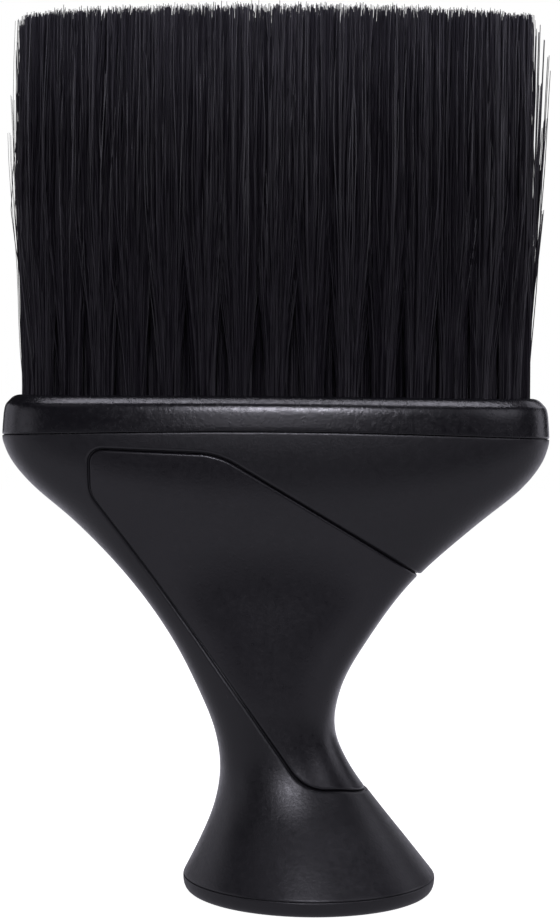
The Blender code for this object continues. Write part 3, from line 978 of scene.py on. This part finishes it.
def remapped(tree, source, low, high, start=0.0, end=1.0):
    """A value between low and high, moved to between start and end."""
    made = tree.nodes.new("ShaderNodeMapRange")
    made.inputs["From Min"].default_value = low
    made.inputs["From Max"].default_value = high
    made.inputs["To Min"].default_value = start
    made.inputs["To Max"].default_value = end
    tree.links.new(source, made.inputs["Value"])
    return made.outputs["Result"]


def streaks(tree, place, scale, detail):
    """Noise of its own scale along each axis."""
    stretch = tree.nodes.new("ShaderNodeMapping")
    stretch.inputs["Scale"].default_value = scale
    tree.links.new(place, stretch.inputs["Vector"])
    noise = node(tree, "ShaderNodeTexNoise", Scale=1.0, Detail=detail)
    tree.links.new(stretch.outputs["Vector"], noise.inputs["Vector"])
    return noise.outputs["Fac"]


# Dark and light shade of the two blacks
BLACK = ((0.0055, 0.0052, 0.0068), (0.0078, 0.0074, 0.0094))
WARM_BLACK = ((0.0055, 0.005, 0.0068), (0.0078, 0.007, 0.0094))

# Moulded materials: shades, roughness and strength of the grain; its depth, and how far the
# roughness varies down and up
PLASTICS = {
    "satin_shell": (BLACK, 0.38, 1.0),
    "soft_grip": (WARM_BLACK, 0.32, 0.9),
    "satin_head": (BLACK, 0.24, 1.0),
    "satin_cap": (BLACK, 0.42, 1.0),
}
GRAIN_DEPTH = 0.035 * MM
GLOSS_SPREAD = (-0.05, 0.06)

# Nylon: its shades, the painted light that its tips add to them, and the height where that painted light
# starts
NYLON_DARK = (0.0074, 0.0062, 0.009)
NYLON_MIDDLE = (0.012, 0.0103, 0.0144)
NYLON_LIGHT = (0.026, 0.0232, 0.029)
NYLON_TIP_PAINTED_LIGHT = (0.026, 0.0255, 0.031, 1.0)
PAINTED_LIGHT_FROM_Z = 140 * MM

# Sockets of a colour mix: its two colours and its result
MIX_FIRST, MIX_SECOND, MIX_RESULT = 6, 7, 2


def plastic(name):
    """Moulded plastic with a fine eroded grain, soft cloudy colour and uneven gloss."""
    (dark, light), rough, grain = PLASTICS[name]
    made, tree, shader = new_material(name)
    links = tree.links
    place = tree.nodes.new("ShaderNodeTexCoord").outputs["Object"]
    cloud = node(tree, "ShaderNodeTexNoise", Scale=45.0, Detail=5.0, Roughness=0.6)
    fine = node(tree, "ShaderNodeTexNoise", Scale=1800.0, Detail=3.0, Roughness=0.6)
    pits = node(tree, "ShaderNodeTexNoise", Scale=900.0, Detail=3.0, Roughness=0.6)
    for texture in (cloud, fine, pits):
        links.new(place, texture.inputs["Vector"])
    colour = ramp(tree, cloud.outputs["Fac"], [(0.35, dark), (0.65, light)])
    links.new(colour, shader.inputs["Base Color"])
    least, most = rough + GLOSS_SPREAD[0], rough + GLOSS_SPREAD[1]
    gloss = remapped(tree, pits.outputs["Fac"], 0.3, 0.7, least, most)
    links.new(gloss, shader.inputs["Roughness"])
    bump = node(tree, "ShaderNodeBump", Strength=grain, Distance=GRAIN_DEPTH)
    links.new(fine.outputs["Fac"], bump.inputs["Height"])
    links.new(bump.outputs["Normal"], shader.inputs["Normal"])
    return made


def nylon():
    """Black nylon bristle: each filament its own shade, with painted light added towards the cut tips."""
    made, tree, shader = new_material("nylon_filament")
    links = tree.links
    place = tree.nodes.new("ShaderNodeTexCoord").outputs["Object"]
    single = streaks(tree, place, (2600.0, 2600.0, 60.0), 1.0)
    shades = [(0.3, NYLON_DARK), (0.5, NYLON_MIDDLE), (0.72, NYLON_LIGHT)]
    shade = ramp(tree, single, shades)
    apart = tree.nodes.new("ShaderNodeSeparateXYZ")
    links.new(place, apart.inputs["Vector"])
    # Painted light: a pale colour is added from this height up to the top, standing in for the light on
    # the cut tips
    height = remapped(tree, apart.outputs["Z"], PAINTED_LIGHT_FROM_Z, BRUSH_TOP_Z)
    mix = node(tree, "ShaderNodeMix", data_type="RGBA", blend_type="ADD")
    mix.inputs[MIX_SECOND].default_value = NYLON_TIP_PAINTED_LIGHT
    links.new(height, mix.inputs["Factor"])
    links.new(shade, mix.inputs[MIX_FIRST])
    links.new(mix.outputs[MIX_RESULT], shader.inputs["Base Color"])
    shader.inputs["Roughness"].default_value = 0.42
    shader.inputs["Specular IOR Level"].default_value = 0.3
    return made


def drawn_steel():
    """Bright drawn wire with fine lines along it."""
    made, tree, shader = new_material("drawn_steel")
    place = tree.nodes.new("ShaderNodeTexCoord").outputs["Object"]
    lines = streaks(tree, place, (60.0, 9000.0, 9000.0), 2.0)
    stops = [(0.3, (0.42, 0.42, 0.44)), (0.7, (0.6, 0.6, 0.62))]
    tree.links.new(ramp(tree, lines, stops), shader.inputs["Base Color"])
    shader.inputs["Metallic"].default_value = 1.0
    shader.inputs["Roughness"].default_value = 0.34
    return made


def dress(piece, skin):
    """Gives an object one material."""
    piece.data.materials.clear()
    piece.data.materials.append(skin)


def hard_pieces():
    """The four moulded pieces, each in place of its CAD node."""
    groove = GrooveMap()
    parts = [
        (handle_shell(groove), "handle_body", "handle_plastic", "satin_shell"),
        (grip_skin(groove), "grip_inlay", "grip_rubber", "soft_grip"),
        (head_collar(), "bristle_head", "head_plastic", "satin_head"),
        (foot_cap(), "base_cap", "cap_plastic", "satin_cap"),
    ]
    for piece, cad_node, slot, look in parts:
        dress(piece, plastic(look))
        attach(piece, "root")
        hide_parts(cad_node)


# The light: its tint, level of the surroundings, distance of the softboxes, height that they
# aim at, and their usual size
LIGHT_TINT = (0.97, 0.95, 1.08)
WHITE = (1.0, 1.0, 1.0, 1.0)
WORLD_LEVEL = 0.02
LIGHT_AWAY = 1.2
AIM_Z = 0.09
BOX = (0.5, 0.5)

# Softboxes: name, turn from the front to the right and rise in degrees, size, brightness
SOFTBOXES = [
    ("key_box", 1.0, 27.0, (0.15, 0.1), 85.0),
    ("front_strip", -2.0, 21.0, (0.2, 0.6), 2.2),
    ("right_front_box", 50.0, 24.0, BOX, 1.4),
    ("near_front_box", 20.0, 24.0, BOX, 0.2),
    ("left_front_box", -50.0, 45.0, BOX, 0.31),
    ("left_low_box", -70.0, 6.0, BOX, 0.67),
    ("left_side_box", -100.0, 10.0, BOX, 0.85),
    ("left_back_box", -125.0, 10.0, BOX, 0.6),
    ("right_side_box", 100.0, 10.0, BOX, 1.3),
    ("right_high_box", 120.0, 36.0, BOX, 1.3),
    ("right_back_box", 150.0, 10.0, BOX, 0.6),
    ("back_box", 180.0, 26.0, BOX, 1.6),
    ("high_box", 30.0, 68.0, BOX, 0.5),
    ("top_box", 0.0, 88.7, (1.4, 0.13), 9.5),
]


def softbox(name, place, target, size, radiance):
    """A rectangular area light of an even brightness that faces a point."""
    light = bpy.data.lights.new(name, "AREA")
    light.shape = "RECTANGLE"
    light.size, light.size_y = size
    light.energy = radiance * math.pi * size[0] * size[1]
    light.color = LIGHT_TINT
    made = new_object(name, light)
    made.location = place
    made.rotation_euler = (Vector(target) - Vector(place)).to_track_quat("-Z", "Y").to_euler()


def studio():
    """Surroundings that are white to the camera and dim otherwise, and the ring of softboxes."""
    world = bpy.data.worlds.new("studio")
    bpy.context.scene.world = world
    world.use_nodes = True
    tree = world.node_tree
    seen = tree.nodes.new("ShaderNodeLightPath")
    dim = tree.nodes["Background"]
    dim.inputs["Color"].default_value = (*[WORLD_LEVEL * tint for tint in LIGHT_TINT], 1.0)
    white = tree.nodes.new("ShaderNodeBackground")
    white.inputs["Color"].default_value = WHITE
    either = tree.nodes.new("ShaderNodeMixShader")
    tree.links.new(seen.outputs["Is Camera Ray"], either.inputs[0])
    tree.links.new(dim.outputs[0], either.inputs[1])
    tree.links.new(white.outputs[0], either.inputs[2])
    tree.links.new(either.outputs[0], tree.nodes["World Output"].inputs["Surface"])
    for name, turn, rise, size, radiance in SOFTBOXES:
        turn, rise = math.radians(turn), math.radians(rise)
        level = math.cos(rise) * LIGHT_AWAY
        height = AIM_Z + math.sin(rise) * LIGHT_AWAY
        place = (math.sin(turn) * level, -math.cos(turn) * level, height)
        softbox(name, place, (0, 0, AIM_Z), size, radiance)


# The floor: size, height, and its light on the brush from the front to the back
FLOOR_REACH = 4.0
FLOOR_POINTS = 8
FLOOR_Z = -0.2 * MM
FLOOR_FRONT = -0.6
FLOOR_BACK = 0.4
FLOOR_LEVELS = [
    (0.04, 0.42), (0.12, 0.04), (0.42, 0.04), (0.46, 0.56),
    (0.52, 0.54), (0.56, 0.42), (0.62, 0.42), (0.68, 1.0),
]


def white_floor():
    """A broad pale floor that merges with the white surroundings and is dimmer in front."""
    mesh = bpy.data.meshes.new("floor")
    side = np.linspace(-FLOOR_REACH, FLOOR_REACH, FLOOR_POINTS)
    points = [(x, y, FLOOR_Z) for y in side for x in side]
    faces = []
    for row in range(FLOOR_POINTS - 1):
        for k in range(row * FLOOR_POINTS, (row + 1) * FLOOR_POINTS - 1):
            faces.append((k, k + 1, k + 1 + FLOOR_POINTS, k + FLOOR_POINTS))
    mesh.from_pydata(points, [], faces)
    floor = new_object("floor", mesh)
    made, tree, shader = new_material("floor_paper")
    place = tree.nodes.new("ShaderNodeTexCoord").outputs["Object"]
    shader.inputs["Base Color"].default_value = (0.5, 0.5, 0.5, 1.0)
    shader.inputs["Roughness"].default_value = 0.9
    shader.inputs["Specular IOR Level"].default_value = 0.0
    apart = tree.nodes.new("ShaderNodeSeparateXYZ")
    tree.links.new(place, apart.inputs["Vector"])
    way_back = remapped(tree, apart.outputs["Y"], FLOOR_FRONT, FLOOR_BACK)
    stops = [(at, tuple(level * tint for tint in LIGHT_TINT)) for at, level in FLOOR_LEVELS]
    near = tree.nodes.new("ShaderNodeEmission")
    tree.links.new(ramp(tree, way_back, stops), near.inputs["Color"])
    seen = tree.nodes.new("ShaderNodeLightPath")
    glow = tree.nodes.new("ShaderNodeEmission")
    glow.inputs["Color"].default_value = WHITE
    glow.inputs["Strength"].default_value = 1.0
    either = tree.nodes.new("ShaderNodeMixShader")
    both = tree.nodes.new("ShaderNodeAddShader")
    tree.links.new(shader.outputs[0], both.inputs[0])
    tree.links.new(glow.outputs[0], both.inputs[1])
    tree.links.new(seen.outputs["Is Camera Ray"], either.inputs[0])
    tree.links.new(near.outputs[0], either.inputs[1])
    tree.links.new(both.outputs[0], either.inputs[2])
    tree.links.new(either.outputs[0], tree.nodes["Material Output"].inputs["Surface"])
    mesh.materials.append(made)


# The camera: place, lens in millimetres and roll in degrees
CAMERA_PLACE = (0.85 * MM, -300 * MM, 81.1 * MM)
CAMERA_LENS = 61.25
CAMERA_ROLL = -0.5


def camera():
    """Camera in front of the brush, level, and rolled by half a degree."""
    data = bpy.data.cameras.new("camera")
    data.lens = CAMERA_LENS
    data.sensor_width = 36.0
    data.clip_start = 0.01
    made = new_object("camera", data)
    made.location = CAMERA_PLACE
    made.rotation_euler = (math.radians(90), math.radians(CAMERA_ROLL), 0)
    bpy.context.scene.camera = made


hard_pieces()
nylon_skin = nylon()
for tuft in bristles():
    dress(tuft, nylon_skin)
steel = drawn_steel()
for row in ROWS:
    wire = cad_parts[f"wire_{row}"]
    wire.material_slots[0].material = steel
studio()
white_floor()
camera()
bpy.context.scene.view_settings.view_transform = "Standard"
